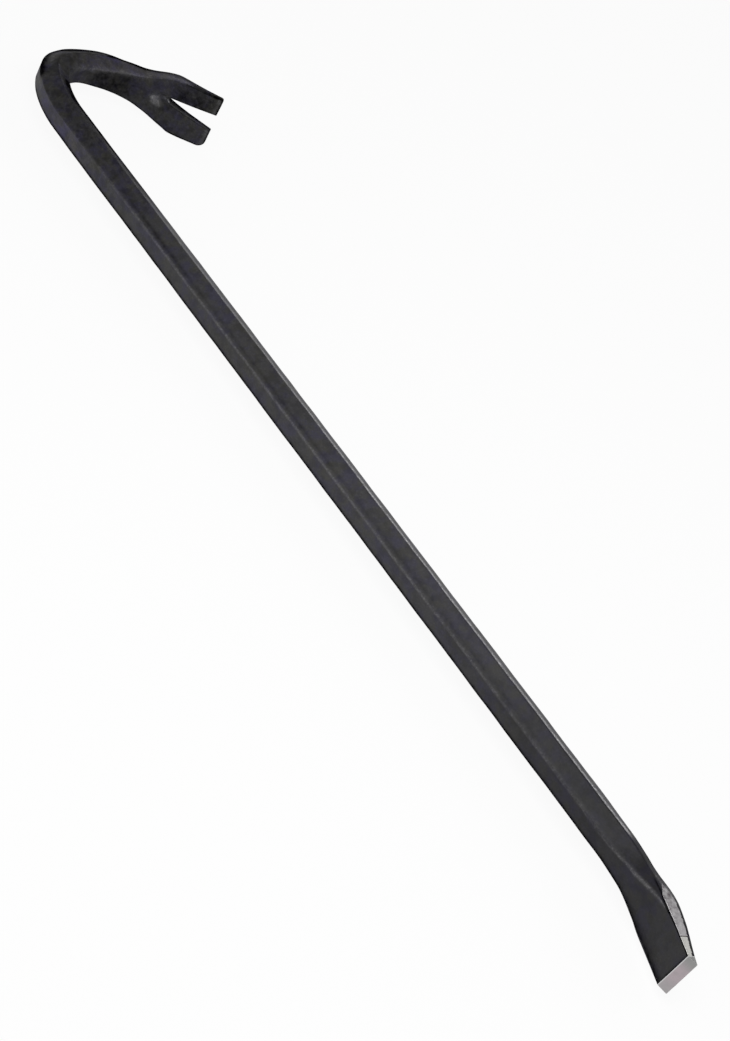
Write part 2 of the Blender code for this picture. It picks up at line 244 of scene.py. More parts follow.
def skin(name, sheets, finish):
    """A closed mesh welded from sheets of rows, with its open ends filled and its points' painted light and
    shade and wear stored.
    """
    mesh = bmesh.new()
    layers = [mesh.verts.layers.float.new(surface_mark) for surface_mark in mark_names]
    for rows in sheets:
        grid = []
        for row in rows:
            line = []
            for point, surface_mark in row:
                vertex = mesh.verts.new(point)
                for layer, level in zip(layers, surface_mark):
                    vertex[layer] = level
                line.append(vertex)
            grid.append(line)
        for line, after in zip(grid, grid[1:]):
            for i in range(len(line) - 1):
                mesh.faces.new((line[i], line[i + 1], after[i + 1], after[i]))
    bmesh.ops.remove_doubles(mesh, verts=mesh.verts, dist=0.001 * MM)
    bmesh.ops.holes_fill(mesh, edges=[e for e in mesh.edges if e.is_boundary], sides=0)
    bmesh.ops.recalc_face_normals(mesh, faces=mesh.faces)
    data = bpy.data.meshes.new(name)
    mesh.to_mesh(data)
    mesh.free()
    data.shade_smooth()
    data.set_sharp_from_angle(angle=crease_angle)
    data.materials.append(finish)
    piece = in_scene(name, data)
    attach(piece, "root")
    return piece


def bar_skin(node, spine, section, begin, end, longest, finish, surface_mark):
    """The fine skin of one section of the bar, which stands for that section's solid."""
    places = steps(begin, end, longest)
    sheets = [[half_row(spine, section, s, sign, surface_mark) for s in places] for sign in (1, -1)]
    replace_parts(skin(node + "_skin", sheets, finish), node)


class Wire:
    """A shader socket on which arithmetic adds Math nodes."""

    def __init__(self, tree, socket):
        self.tree = tree
        self.socket = socket

    def pair(self, operation, first, second):
        node = self.tree.nodes.new("ShaderNodeMath")
        node.operation = operation
        for slot, value in zip(node.inputs, (first, second)):
            if isinstance(value, Wire):
                self.tree.links.new(value.socket, slot)
            else:
                slot.default_value = value
        return Wire(self.tree, node.outputs[0])

    def math(self, operation, second):
        return self.pair(operation, self, second)

    def __rsub__(self, other):
        return self.pair("SUBTRACT", other, self)

    __add__ = __radd__ = partialmethod(math, "ADD")
    __sub__ = partialmethod(math, "SUBTRACT")
    __mul__ = __rmul__ = partialmethod(math, "MULTIPLY")
    __gt__ = partialmethod(math, "GREATER_THAN")
    __lt__ = partialmethod(math, "LESS_THAN")


class Finish:
    """A material, whose method node adds any node but Math to it."""

    def __init__(self, name, holder=None):
        self.material = holder or bpy.data.materials.new(name)
        self.material.use_nodes = True
        self.tree = self.material.node_tree

    def node(self, kind, settings=None, inputs=None, output=0):
        node = self.tree.nodes.new(kind)
        for name, value in (settings or {}).items():
            if name == "stops":
                ramp = node.color_ramp
                while len(ramp.elements) < len(value):
                    ramp.elements.new(0.5)
                for element, (place, level) in zip(ramp.elements, value):
                    element.position = place
                    element.color = (level, level, level, 1.0)
            else:
                setattr(node, name, value)
        self.fill(node, inputs or {})
        return Wire(self.tree, node.outputs[output])

    def fill(self, node, inputs):
        for name, value in inputs.items():
            if isinstance(value, Wire):
                self.tree.links.new(value.socket, node.inputs[name])
            else:
                node.inputs[name].default_value = value

    def surface(self, **inputs):
        shader = self.tree.nodes["Principled BSDF"]
        self.fill(shader, {name.replace("_", " "): value for name, value in inputs.items()})

    def place(self):
        return self.node("ShaderNodeTexCoord", output="Object")

    def part_of(self, axis, low, high):
        """A value that rises smoothly from 0 at low to 1 at high along an axis of the object."""
        along = self.node("ShaderNodeSeparateXYZ", inputs={"Vector": self.place()}, output=axis)
        limits = {"Value": along, "From Min": low, "From Max": high}
        return self.node("ShaderNodeMapRange", {"interpolation_type": "SMOOTHSTEP"}, limits)

    def noise(self, size, detail, roughness, vector=None):
        """Noise whose patches are about this size."""
        inputs = {"Vector": vector or self.place(), "Scale": 1.0 / size}
        inputs.update({"Detail": detail, "Roughness": roughness})
        return self.node("ShaderNodeTexNoise", inputs=inputs, output="Fac")

    def mark(self, name):
        """What skin() stored under this name."""
        return self.node("ShaderNodeAttribute", {"attribute_name": name}, output="Fac")

    def ramp(self, value, *stops):
        """A value put through (place, level) stops."""
        return self.node("ShaderNodeValToRGB", {"stops": stops}, {"Fac": value})

    def patches(self, size, detail, roughness, *stops):
        return self.ramp(self.noise(size, detail, roughness), *stops)

    def blend(self, factor, first, second, way="MIX"):
        """From the first colour to the second, or with MULTIPLY to their product, by a factor."""
        settings = {"data_type": "RGBA", "clamp_factor": True, "blend_type": way}
        return self.node("ShaderNodeMix", settings, {0: factor, 6: first, 7: second}, output=2)


enamel_colour = (0.044, 0.0432, 0.046, 1.0)
# Painted shade: the enamel is painted darker towards the chisel end.
enamel_shaded_by_chisel = (0.022, 0.0214, 0.024, 1.0)
# Painted shade: near black laid where the enamel is darkened.
shade_colour = (0.003, 0.0027, 0.0034, 1.0)
# Painted sheen: a violet grey laid on lit faces.
sheen_colour = (0.076, 0.068, 0.102, 1.0)
# Grey for wear and for painted highlights.
wear_and_highlight_colour = (0.3, 0.296, 0.306, 1.0)
# Painted glints: bright specks on the brightest rims.
glint_colour = (0.64, 0.635, 0.65, 1.0)
glint_from, glint_gain = 0.55, 2.7
dull = (0.68, 0.68, 0.68, 1.0)
violet = (0.88, 0.85, 1.3, 1.0)
olive = (1.06, 1.05, 0.84, 1.0)
tints = ((dull, 6 * MM, 1.0), (violet, 8 * MM, 1.0), (olive, 7 * MM, 0.8))
pale_speck, speck_strength = (1.5, 1.5, 1.5, 1.0), 0.5
grain_size, speck_size, glint_size = 1.4 * MM, 1.1 * MM, 1.2 * MM
breakup_size, cloud_size, dent_size = 5 * MM, 9 * MM, 5 * MM
uneven_size, uneven_gain, uneven_least = 3 * MM, 1.4, 0.3
breakup_by_specks, breakup_by_grain, breakup_least = 0.6, 0.7, 0.45
enamel_roughness, grain_roughness = 0.6, 0.1
dent_strength, dent_height, fine_dents = 0.5, 0.12 * MM, 0.25
enamel_shine, coat_roughness = 0.36, 0.42
paler_end, darker_end = 60 * MM, 230 * MM
blotched_end, even_end, evenness = -230 * MM, -120 * MM, 0.3


class Enamel(Finish):
    """Black enamel over forged steel: blotched, with dead black painted shade, a violet painted sheen, grey
    wear and painted highlights, and painted glints.
    """

    def __init__(self, name):
        super().__init__(name)
        grain = self.noise(grain_size, 2.0, 0.6)
        specks = self.patches(speck_size, 2.0, 0.5, (0.5, 0.0), (0.66, 1.0))
        breakup = self.patches(breakup_size, 5.0, 0.75, (0.36, 0.35), (0.6, 1.0))
        clouds = self.patches(cloud_size, 4.0, 0.6, (0.34, 0.5), (0.66, 1.0))
        blotched = 1 - self.part_of("X", blotched_end, even_end) * evenness
        uneven = self.noise(uneven_size, 4.0, 0.65) * uneven_gain + uneven_least
        thick = (self.mark("thick") * uneven).math("MINIMUM", 1.0)
        # Painted shade: the enamel darkens towards the chisel end.
        bar = self.blend(self.part_of("X", paler_end, darker_end), enamel_colour, enamel_shaded_by_chisel)
        # Painted sheen on the marked faces, in clouds.
        bar = self.blend(self.mark("hazed") * clouds, bar, sheen_colour)
        # Painted shade: the marked places are darkened towards near black.
        bar = self.blend(thick, bar, shade_colour)
        for tint, size, strength in tints:
            tinted = self.patches(size, 4.0, 0.6, (0.46, 0.0), (0.6, 1.0))
            bar = self.blend(tinted * blotched * strength, bar, tint, "MULTIPLY")
        bar = self.blend(specks * blotched * speck_strength, bar, pale_speck, "MULTIPLY")
        through = specks * breakup_by_specks + grain * breakup_by_grain + breakup_least
        # Grey wear and painted highlights where marked, broken up by noise.
        bar = self.blend(self.mark("rubbed") * breakup * through, bar, wear_and_highlight_colour)
        # Painted glints where the rims are brightest.
        glints = self.patches(glint_size, 2.0, 0.6, (0.49, 0.0), (0.58, 1.0))
        glinted = (self.mark("rubbed") - glint_from) * glints * glint_gain
        self.colour = self.blend(glinted, bar, glint_colour)
        self.roughness = enamel_roughness + grain * grain_roughness
        self.shine = (1 - thick) * enamel_shine
        dents = self.noise(dent_size, 4.0, 0.55) + self.noise(speck_size, 2.0, 0.6) * fine_dents
        relief = {"Strength": dent_strength, "Distance": dent_height, "Height": dents}
        self.surface(
            Base_Color=self.colour,
            Roughness=self.roughness,
            Normal=self.node("ShaderNodeBump", {}, relief),
            Specular_IOR_Level=0.0,
            Coat_Weight=self.shine,
            Coat_Roughness=coat_roughness,
        )


def curve(*knots):
    """A level along the bar, through (millimetres from the shank's hook end, level) knots."""
    return Smooth([place * MM for place, level in knots], [level for place, level in knots])


def near(value, middle, width):
    """1 where the value is at the middle, and less and less to either side of it."""
    return math.exp(-(((value - middle) / width) ** 2))


# Painted shade along the bar: how far each face is darkened at each place.
front_shade = curve((-62, 0.3), (-50, 0.3), (-40, 0.1), (-30, 0.0), (600, 0.0))
slant_shade = curve(
    (-140, 0.5), (-56, 0.5), (-34, 0.45), (20, 0.42), (60, 0.3), (100, 0.15), (140, 0.05), (200, 0.1),
    (260, 0.0), (320, 0.05), (380, 0.04), (430, 0.14), (470, 0.2), (600, 0.22),
)
rim_shade = curve(
    (-143, 1.0), (-130, 0.9), (-124, 0.1), (-96, 0.1), (-62, 0.3), (-50, 0.5), (-38, 0.5),
    (-20, 0.55), (25, 0.72), (60, 0.5), (100, 0.0), (488, 0.0), (493, 0.35), (600, 0.3),
)
back_shade = curve(
    (-140, 0.38), (-104, 0.4), (-92, 0.7), (-74, 0.76), (-66, 0.4), (-50, 0.4), (-30, 0.6), (60, 0.0)
)
# Painted sheen on the hook's front and rim.
front_sheen = curve((-46, 0.0), (-38, 0.09), (-24, 0.15), (-8, 0.36), (14, 0.32), (38, 0.0))
rim_sheen = curve((-130, 0.0), (-122, 0.16), (-108, 0.24), (-96, 0.27), (-75, 0.32), (-60, 0.1), (-50, 0.0))
# Painted highlights along the rim and the corners.
rim_highlight = curve(
    (-10, 0.0), (20, 0.09), (60, 0.31), (85, 0.42), (200, 0.68), (280, 0.82), (330, 0.82), (385, 0.77),
    (435, 0.82), (482, 0.82), (490, 0.0),
)
corner_highlight = curve(
    (-30, 0.0), (0, 0.05), (60, 0.14), (100, 0.22), (400, 0.2), (468, 0.1), (482, 0.0)
)
slant_line = curve(
    (-10, 0.0), (40, 0.12), (100, 0.55), (150, 0.26), (220, 0.42), (280, 0.16), (460, 0.0)
)

# Painted highlights on the upper half's corners, rims and ridges, and painted shade as dark lines along
# corners and edges.
# Each mark is a level along the bar, the place around that it keeps to, and its width there
upper_highlights = [
    (corner_highlight, 4.01, 0.1),
    (curve((478, 0.0), (484, 0.2), (500, 0.28), (518, 0.4), (525, 0.34), (528, 0.0)), 4.03, 0.11),
    (curve((460, 0.0), (466, 0.07), (476, 0.07), (484, 0.0)), 4.0, 0.2),
    (rim_highlight, 1.85, 0.27),
    (curve((70, 0.0), (110, 0.26), (482, 0.32), (490, 0.0)), 1.1, 0.22),
    (curve((-10, 0.0), (4, 0.24), (30, 0.26), (50, 0.1), (60, 0.0)), 1.62, 0.12),
    (curve((-140, 0.0), (-132, 0.1), (-120, 0.2), (-108, 0.16), (-98, 0.0)), 1.5, 0.6),
    (curve((-108, 0.0), (-96, 0.14), (-62, 0.14), (-50, 0.0)), 1.0, 0.25),
    (curve((-56, 0.0), (-50, 0.16), (-42, 0.2), (-36, 0.0)), 3.45, 0.2),
    (curve((-40, 0.0), (-36, 0.1), (-20, 0.1), (-10, 0.0)), 2.0, 0.12),
    (curve((-36, 0.0), (-31, 0.2), (-27, 0.2), (-22, 0.0)), 4.6, 0.35),
    (curve((498, 0.0), (507, 0.2), (517, 0.45), (523, 0.3), (530, 0.0)), 2.25, 0.3),
]
# Painted shade: dark lines along corners and edges, on the upper half and then on the lower one.
upper_contours = [
    (curve((-88, 0.0), (-80, 1.9), (-42, 1.9), (-34, 1.3), (-28, 0.0)), 4.08, 0.3),
    (curve((-90, 0.0), (-84, 1.6), (-62, 1.6), (-50, 0.0)), 3.8, 0.36),
    (curve((-113, 0.0), (-106, 0.9), (-98, 1.8), (-82, 1.9), (-75, 0.0)), 2.75, 0.5),
    (curve((-140, 0.3), (-124, 0.9), (-106, 0.7), (-98, 0.0)), 3.3, 0.5),
    (curve((-31, 0.0), (-22, 2.4), (8, 2.4), (22, 1.5), (36, 0.6), (56, 0.0)), 1.2, 0.34),
    (slant_line, 3.79, 0.13),
    (curve((280, 0.0), (330, 0.2), (400, 0.24), (440, 0.1), (480, 0.0)), 3.8, 0.3),
    (curve((488, 0.0), (493, 0.6), (506, 0.6), (511, 0.0)), 1.0, 0.2),
    (curve((-146, 0.9), (-126, 0.8), (-122, 0.0)), 1.0, 0.14),
    (curve((-146, 0.4), (-134, 0.52), (-124, 0.56), (-114, 0.0)), 0.3, 0.7),
]
lower_contours = [
    (curve((-48, 0.0), (-40, 1.0), (600, 1.0)), 4.02, 0.24),
    (curve((-146, 0.9), (-60, 0.7), (-50, 0.0)), 1.0, 0.14),
]
# Painted shade: the share of a face's darkening kept where dark lines are laid.
shade_under_lines = 0.5


def sum_of(marks, place, around):
    return sum(level(place) * near(around, middle, width) for level, middle, width in marks)


def bar_marks(place, around, sign):
    """The painted highlight and wear, painted shade, painted sheen and bare steel at a place along the bar
    and around it.

    The place around runs from the back over the rim at 1 to 2 and the slant at 3 to 4 to the front.
    """
    on_front = min(max((around - 4) / corner_half, 0.0), 1.0)
    on_back = min(max((1 - around) / corner_half, 0.0), 1.0)
    on_rim = (1 - on_back) * min(max((2 + corner_half - around) / corner_half, 0.0), 1.0)
    on_slant = 1 - on_front - on_back - on_rim
    thick = front_shade(place) * on_front + back_shade(place) * on_back
    thick += rim_shade(place) * on_rim + slant_shade(place) * on_slant
    hazed = front_sheen(place) * on_front + rim_sheen(place) * on_rim
    contours = upper_contours if sign > 0 else lower_contours
    rubbed = sum_of(upper_highlights, place, around) if sign > 0 else 0.0
    contoured = thick * shade_under_lines + sum_of(contours, place, around)
    return rubbed, min(max(thick, contoured), 1.0), hazed, 0.0


def shank_marks(distance, out, around, sign):
    return bar_marks(distance, around, sign)


black_paint = Enamel("black_paint").material
straight = Spine(shank_start, 0.0, [(shank_length, 0.0)])
stock = Section([0.0, shank_length], [hexagon(), hexagon()])
bar_skin("hex_shank", straight, stock, 0.0, shank_length, shank_step, black_paint, shank_marks)


# The hook's root is the stock's slow lead-in to the bend, made over a former while the steel is hot. The
# hexagon keeps its shape here, and the sizes of the whole hook follow from its spine.
lead_in_radius, lead_in_turn = 71.2 * MM, 32.0 * DEG
heel_radius, heel_turn = 11.0 * MM, 49.5 * DEG
gooseneck_radius, gooseneck_turn = 50.0 * MM, 62.6 * DEG
palm_run = 13.8 * MM
kick_radius, kick_turn = 118.7 * MM, 7.9 * DEG
tip_run = 12.5 * MM
tip_to_shoulder = 22.2 * MM
shoulder_to_palm = 21.9 * MM
palm_to_throat = 5.9 * MM
throat_to_neck = 22.4 * MM
claw_tip_thickness, tip_bevel = 2.4 * MM, 0.7 * MM
claw_shoulder_thickness, shoulder_bevel = 4.3 * MM, 1.3 * MM
palm_thickness, palm_side_flat = 10.2 * MM, 3.0 * MM
palm_inner_bevel, palm_outer_bevel = 2.0 * MM, 4.6 * MM
neck_outer_half, neck_inner_half, neck_reach = 9.5 * MM, 8.3 * MM, 9.9 * MM
neck_inner_bevel, neck_outer_bevel = 3.8 * MM, 4.4 * MM
claw_tip_reach = 17.6 * MM
upper_shoulder_reach, upper_shoulder_place = 18.15 * MM, 25.5 * MM
upper_throat_reach = 10.5 * MM
lower_shoulder_reach, lower_shoulder_place = 18.1 * MM, 21.0 * MM
lower_shoulder_turn, lower_shoulder_fall = 3.5 * MM, 0.9 * MM
lower_palm_reach = 12.4 * MM
lower_throat_reach = 11.6 * MM
heel_flattening, heel_thinning, heel_spread = 1.0 * MM, 0.9 * MM, 0.8 * MM
heel_approach = 11.0 * MM
approach_thinning, approach_spread = 0.9 * MM, 0.1 * MM
heel_to_elbow = 10.0 * MM
elbow_swell, elbow_thinning = 0.8 * MM, 1.4 * MM
hook_step = 1.0 * MM

hook_runs = [
    (lead_in_radius * lead_in_turn, -lead_in_turn),
    (heel_radius * heel_turn, -heel_turn),
    (gooseneck_radius * gooseneck_turn, -gooseneck_turn),
    (palm_run, 0.0),
    (kick_radius * kick_turn, kick_turn),
    (tip_run, 0.0),
]
hook = Spine(shank_start, math.pi, hook_runs)


def flat_bar(thickness, reach, bevel):
    return faces(thickness / 2, thickness / 2, reach, bevel, bevel, (thickness - bevel) / 2)


def bent(stock, swell, thinning, spread):
    """The stock where a bend swells its outer face, thins its inner one and spreads its sides."""
    return (stock[0] + swell, stock[1] - thinning, stock[2] + spread, stock[3] + spread, *stock[4:])


def hook_section():
    stock = hexagon()
    approach = bent(stock, 0.0, approach_thinning, approach_spread)
    heel = bent(stock, -heel_flattening, heel_thinning, heel_spread)
    elbow = bent(stock, elbow_swell, elbow_thinning, 0.0)
    neck_bevels = (neck_outer_bevel, neck_inner_bevel)
    neck = faces(neck_outer_half, neck_inner_half, neck_reach, *neck_bevels, stock[-1])
    palm_bevels = (palm_outer_bevel, palm_inner_bevel)
    half_palm = palm_thickness / 2
    palm = faces(half_palm, half_palm, lower_palm_reach, *palm_bevels, palm_side_flat / 2)
    shoulder = flat_bar(claw_shoulder_thickness, lower_shoulder_reach, shoulder_bevel)
    tip = flat_bar(claw_tip_thickness, claw_tip_reach, tip_bevel)
    at_shoulder = hook.length - tip_to_shoulder
    at_palm = at_shoulder - shoulder_to_palm
    at_throat = at_palm - palm_to_throat
    at_neck = at_throat - throat_to_neck
    at_approach = hook.ends[1] - heel_approach
    at_heel = (hook.ends[1] + hook.ends[2]) / 2
    at_elbow = hook.ends[2] + heel_to_elbow
    section = Section(
        [0.0, at_approach, at_heel, at_elbow, at_neck, at_palm, at_shoulder, hook.length],
        [stock, approach, heel, elbow, neck, palm, shoulder, tip],
    )
    arm = [(0.0, stock[2]), (at_approach, approach[2]), (at_heel, heel[2]), (at_elbow, elbow[2])]
    arm.append((at_neck, neck_reach))
    upper_claw = [
        (at_throat, upper_throat_reach),
        (hook.length - upper_shoulder_place, upper_shoulder_reach),
        (hook.length, claw_tip_reach),
    ]
    lower_turn_end = hook.length - lower_shoulder_place - lower_shoulder_turn
    lower_claw = [
        (at_throat, lower_throat_reach),
        (at_palm, lower_palm_reach),
        (lower_turn_end, lower_shoulder_reach - lower_shoulder_fall),
        (hook.length - lower_shoulder_place, lower_shoulder_reach),
        (hook.length, claw_tip_reach),
    ]
    section.give("upper", arm + upper_claw)
    section.give("lower", arm + lower_claw)
    return section


def hook_marks(distance, out, around, sign):
    """The painted light and shade and the wear on the hook, whose spine runs the other way, so that its
    left is the bar's front.
    """
    return bar_marks(-distance, 5 - around, sign)


bend = hook_section()
bar_skin("hook_root", hook, bend, 0.0, hook.ends[1], hook_step, black_paint, hook_marks)


# The heel is the tight corner that a hammer strikes. Bending the hot steel has flattened its outer face,
# drawn its inner one in and spread its sides.
heel_step = 0.5 * MM

bar_skin("hook_heel", hook, bend, hook.ends[1], hook.ends[2], heel_step, black_paint, hook_marks)


# The gooseneck arm sweeps round from the heel and is drawn down towards the claw, wider and thinner as it
# goes. It is forged hot from the same stock.
bar_skin("gooseneck_arm", hook, bend, hook.ends[2], hook.ends[3], hook_step, black_paint, hook_marks)


# The palm is flattened between dies, slit for the nail slot and dished by a punch for the nail's head. The
# slot's edges are eased, and the dish breaks into the slot's round root.
slot_mouth_width = 10.1 * MM
slot_root_width = 2.8 * MM
root_radius = slot_root_width / 2
slot_depth = 28.0 * MM
slot_mouth_offset = 0.9 * MM
slot_root_offset = 2.2 * MM
slot_lean = slot_root_offset - slot_mouth_offset
slot_inner_ease = 0.9 * MM
slot_outer_ease = 0.4 * MM
ease_share = 0.3
eye_length, eye_width, eye_depth = 13.0 * MM, 9.6 * MM, 2.1 * MM
eye_from_tip = 31.7 * MM
eye_offset = -0.6 * MM
eye_rim = 0.1
# Painted highlight on the eye's far slope.
eye_highlight, eye_highlight_ring, eye_highlight_width = 0.62, 0.6, 0.34
eye_highlight_side, eye_highlight_turn = -0.35, 1.2
# Painted shade round the eye's rim.
eye_shade, eye_shade_width = 0.2, 0.14
# Painted highlight on the dish's floor by the slot's root.
root_highlight, root_highlight_place, root_highlight_width = 0.3, 29.8 * MM, 1.8 * MM
tip_round = 0.35 * MM
tip_corner = {1: 1.4 * MM, -1: 4.5 * MM}
tine_excess = {1: 0.0, -1: 0.7 * MM}
tip_wear, tip_wear_place, tip_wear_width = 0.18, 2.0 * MM, 1.0 * MM
# Painted shade at the tines' ends.
tip_edge = 0.8 * MM
tine_root_hold = 7.0 * MM
tine_length = slot_depth - tine_root_hold
claw_step = 0.8 * MM
root_parts, ease_parts, wall_parts, claw_parts = 9, 4, 5, 16
root_centre = slot_depth - root_radius
behind_slot = root_centre + root_radius + slot_inner_ease
palm_end = hook.length - hook.ends[3]
# Painted shade on the slot's walls and edges.
slot_shade = 0.95
slot_edge_shade = {1: 0.8 * MM, -1: 0.35 * MM}
wall_fade = 0.15
wall_dark_below = 2.6 * MM
root_shine = 0.55


def on_eye(from_tip, height):
    """A place in the eye's own measure, in which its rim is a circle of radius 1."""
    return (from_tip - eye_from_tip) / (eye_length / 2), (height - eye_offset) / (eye_width / 2)


def eye(from_tip, height):
    """How deep the punch has dished the inner face at this place, with a rounded rim."""
    along, across = on_eye(from_tip, height)
    inside = 1 - along**2 - across**2
    eased = 0.5 * (inside + math.sqrt(inside**2 + eye_rim**2))
    floor = 0.5 * (math.sqrt(1 + eye_rim**2) - 1)
    far = max(0.0, 1 + inside / 2)
    return eye_depth * max(eased - floor, 0.0) * min(far, 1.0)


def middle(from_tip):
    """Height of the slot's centre line, which leans a little across the claw."""
    return slot_mouth_offset + slot_lean * min(from_tip, root_centre) / slot_depth


def slot_edge(along, sign):
    """A point of the slot's wall in plan and its direction into the steel.

    along runs from 0 at the claw's tips to root_centre, and then by one more for the root's quarter round.
    """
    if along <= root_centre:
        fall = (slot_mouth_width / 2 - root_radius) / root_centre
        wall = slot_mouth_width / 2 - fall * along + sign * middle(along)
        lean = fall - sign * slot_lean / slot_depth
        return Vector((along, wall)), Vector((lean, 1.0)).normalized()
    angle = (along - root_centre) * 90 * DEG
    into = Vector((math.sin(angle), math.cos(angle)))
    return Vector((root_centre, sign * middle(root_centre))) + into * root_radius, into


def inner_face(face, from_tip, height):
    return -face["right"] + eye(from_tip, height)


def end_inset(from_tip, sign):
    """How far the faces are drawn in where the tine's end is rounded."""
    blunt = max(tip_round - from_tip - tine_excess[sign], 0.0)
    return tip_round - math.sqrt(max(tip_round**2 - blunt**2, 0.0))


def claw_face(from_tip, sign):
    """The section's row near the claw's tip, drawn in where the tine's end and outer corner are rounded."""
    face = bend.at(hook.length - from_tip)
    corner = tip_corner[sign]
    short = max(corner - from_tip - tine_excess[sign], 0.0)
    drop = corner - math.sqrt(max(corner**2 - short**2, 0.0))
    inset = end_inset(from_tip, sign)
    face["upper"] -= max(drop, inset)
    face["lower"] -= max(drop, inset)
    for name in ("left", "right", "left_rise", "right_rise"):
        face[name] -= inset
    return face


def on_claw(from_tip, out, up):
    return set_on(hook, hook.length - from_tip, out, up)


def claw_marks(from_tip, around, up, sign):
    """The marks on the claw: painted highlight on the eye's far slope and by the slot's root, wear on the
    tips, and painted shade round the eye and at the tines' ends.
    """
    rubbed, thick, hazed, bare = bar_marks(from_tip - hook.length, 5 - around, sign)
    from_end = from_tip + tine_excess[sign]
    if around > 4:
        along, across = on_eye(from_tip, sign * up)
        ring = math.hypot(along, across)
        turn = math.atan2(across, along)
        # Painted highlight on the eye's far slope, and painted shade round its rim.
        lit_ring = eye_highlight * near(ring, eye_highlight_ring, eye_highlight_width)
        rubbed += lit_ring * near(turn, eye_highlight_side, eye_highlight_turn)
        thick += eye_shade * near(ring, 1.0, eye_shade_width)
        # Painted highlight on the dish's floor by the slot's root.
        from_root = math.hypot(from_tip - root_highlight_place, sign * up - middle(root_centre))
        rubbed += root_highlight * near(from_root, 0.0, root_highlight_width)
        rubbed += tip_wear * near(from_end, tip_wear_place, tip_wear_width)
        thick += near(from_end, 0.0, tip_edge)
    return rubbed, min(thick, 1.0), hazed, bare


def smoothed(share):
    return share * share * (3 - 2 * share)


def claw_half(station, sign):
    """The half section at a station, from the outer face's edge over the side to the inner one's.

    A station is (from_tip outside, outer edge in plan, inner edge in plan).
    """
    from_tip, outer_edge, inner_edge = station
    outline = half_outline(claw_face(from_tip, sign), sign)
    body = outline[flat_parts : len(outline) - flat_parts - 1]
    first, last = body[0], outline[-flat_parts - 1]
    points = []
    for i in range(claw_parts):
        t, up = outer_edge.lerp(Vector((from_tip, first[1])), i / claw_parts)
        place = on_claw(t, claw_face(t, sign)["left"], sign * up)
        points.append((place, claw_marks(t, first[2] * i / claw_parts, up, sign)))
    for out, up, around in body:
        points.append((on_claw(from_tip, out, sign * up), claw_marks(from_tip, around, up, sign)))
    for i in range(claw_parts + 1):
        share = i / claw_parts
        t, up = Vector((from_tip, last[1])).lerp(inner_edge, smoothed(share))
        place = on_claw(t, inner_face(claw_face(t, sign), t, sign * up), sign * up)
        rubbed, thick, hazed, bare = claw_marks(t, last[2] + (5 - last[2]) * share, up, sign)
        if t < root_centre + slot_root_width:
            from_slot = (inner_edge - Vector((t, up))).length
            thick = max(thick, slot_shade * near(from_slot, 0.0, slot_edge_shade[sign]))
        points.append((place, (rubbed, thick, hazed, bare)))
    return points


def eases(from_tip, sign):
    """How far the slot's inner and outer edges are eased."""
    face = claw_face(from_tip, sign)
    thickness = face["left"] + face["right"]
    return min(slot_inner_ease, ease_share * thickness), min(slot_outer_ease, ease_share * thickness)


def wall_shade(along, sign, depth):
    """How dark the painted shade on the slot's wall is at a depth below the inner face, less towards the
    root.
    """
    if sign > 0:
        return slot_shade
    reach = slot_inner_ease + (wall_dark_below - slot_inner_ease) * min(along / root_centre, 1.0)
    return slot_shade * min(wall_fade + (1 - wall_fade) * depth / reach, 1.0)


def slot_wall(along, sign):
    """The slot's wall at a station, from the inner face's eased edge to the outer one's."""
    edge, into = slot_edge(along, sign)
    inset = end_inset(edge.x, sign)
    inner_ease, outer_ease = eases(edge.x, sign)
    # Painted highlight on the root's eased edge.
    rubbed = root_shine if along > root_centre else 0.0
    points = []
    for k in range(ease_parts):
        angle = k / ease_parts * 90 * DEG
        place = edge + into * (inner_ease * (1 - math.sin(angle)) + inset)
        here = claw_face(place.x, sign)
        depth = inner_ease * (1 - math.cos(angle))
        out = inner_face(here, place.x, sign * place.y) + depth
        surface_mark = (rubbed * math.sin(2 * angle), wall_shade(along, sign, depth), 0.0, 0.0)
        points.append((on_claw(place.x, out, sign * place.y), surface_mark))
    place = edge + into * inset
    face = claw_face(edge.x, sign)
    top = inner_face(face, place.x, sign * place.y) + inner_ease
    bottom = face["left"] - outer_ease
    for k in range(wall_parts):
        down = (bottom - top) * k / wall_parts
        surface_mark = (0.0, wall_shade(along, sign, inner_ease + down), 0.0, 0.0)
        points.append((on_claw(place.x, top + down, sign * place.y), surface_mark))
    for k in range(ease_parts + 1):
        angle = k / ease_parts * 90 * DEG
        place = edge + into * (outer_ease * (1 - math.cos(angle)) + inset)
        out = claw_face(place.x, sign)["left"] - outer_ease * (1 - math.sin(angle))
        points.append((on_claw(place.x, out, sign * place.y), (0.0, slot_shade, 0.0, 0.0)))
    return points


def slot_station(along, sign):
    """The station that goes with a place on the slot's wall."""
    edge, into = slot_edge(along, sign)
    inset = end_inset(edge.x, sign)
    inner_ease, outer_ease = eases(edge.x, sign)
    turned = max(along - root_centre, 0.0)
    outside = min(along, root_centre) + turned * (root_radius + slot_inner_ease)
    return outside, edge + into * (outer_ease + inset), edge + into * (inner_ease + inset)


def solid_station(from_tip, sign):
    """A station of the palm behind the slot, whose halves meet on a line that comes back to the middle."""
    outer_behind = root_centre + root_radius + slot_outer_ease
    share = (from_tip - behind_slot) / (palm_end - behind_slot)
    height = sign * middle(root_centre) * (1 - smoothed(share))
    outer = outer_behind + (palm_end - outer_behind) * share
    return from_tip, Vector((outer, height)), Vector((from_tip, height))


